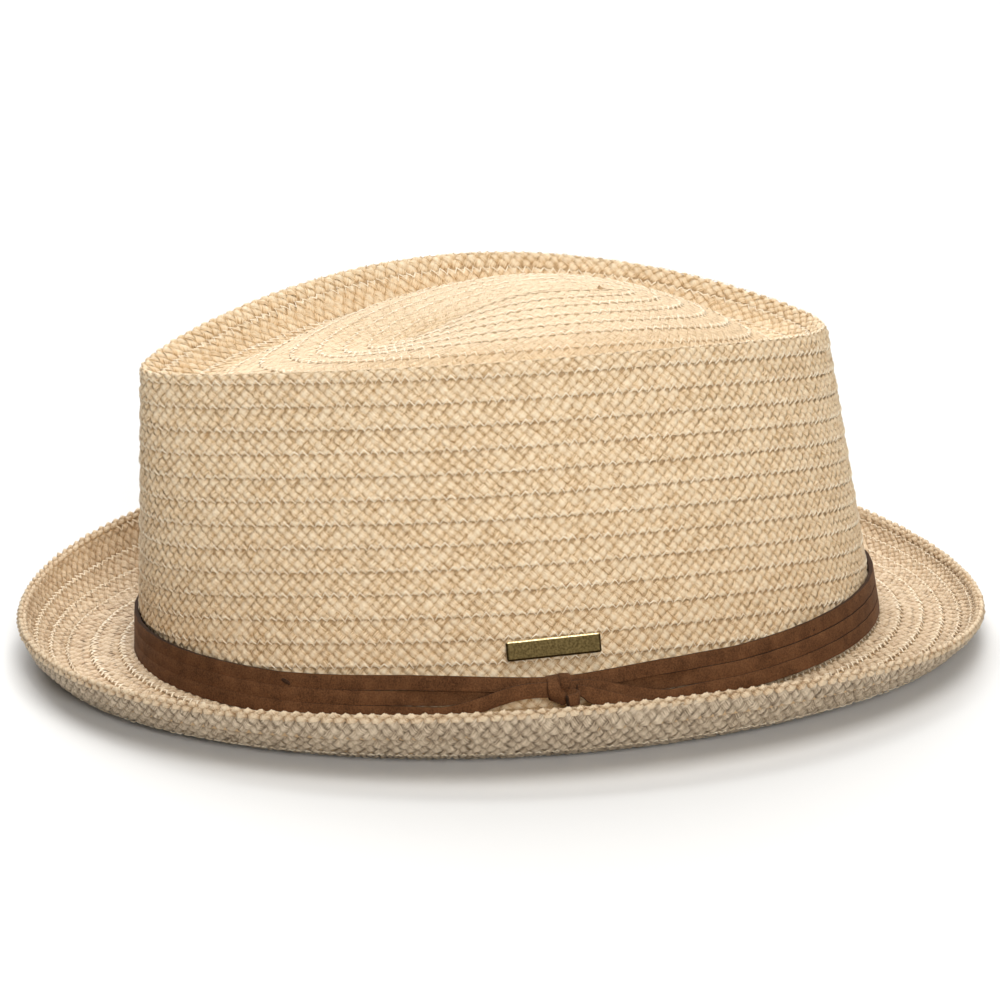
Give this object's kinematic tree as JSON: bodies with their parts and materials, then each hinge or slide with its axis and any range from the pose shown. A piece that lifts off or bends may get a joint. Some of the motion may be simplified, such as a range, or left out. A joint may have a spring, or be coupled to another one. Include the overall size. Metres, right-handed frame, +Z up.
{
  "type": "porkpie hat",
  "caption": "Straw porkpie hat with a teardrop crown, a groove round its domed top, an upturned brim, and a band of suede laces tied at one side.",
  "frame": {"origin": "on the floor under the middle of the brim's outline; the hat rests on the flat of its brim at z = 0", "axes": "+Z up; -Y towards the front of the hat; +X towards the wearer's left, the side of the knot and the plaque"},
  "size_m": [0.2376, 0.2674, 0.097],
  "materials": {
    "straw": "matt sewn straw braid",
    "suede": "brown suede, matt nap",
    "brass": "antiqued, worn bright on its edges"
  },
  "bodies": {
    "root": {"crown_tip": "straw", "crown_wall": "straw", "brim": "straw", "lace_bottom": "suede", "lace_middle": "suede", "lace_top": "suede", "knot_wrap": "suede", "knot_fold": "suede", "tail_short": "suede", "tail_long": "suede", "plaque": "brass"}
  },
  "joints": []
}
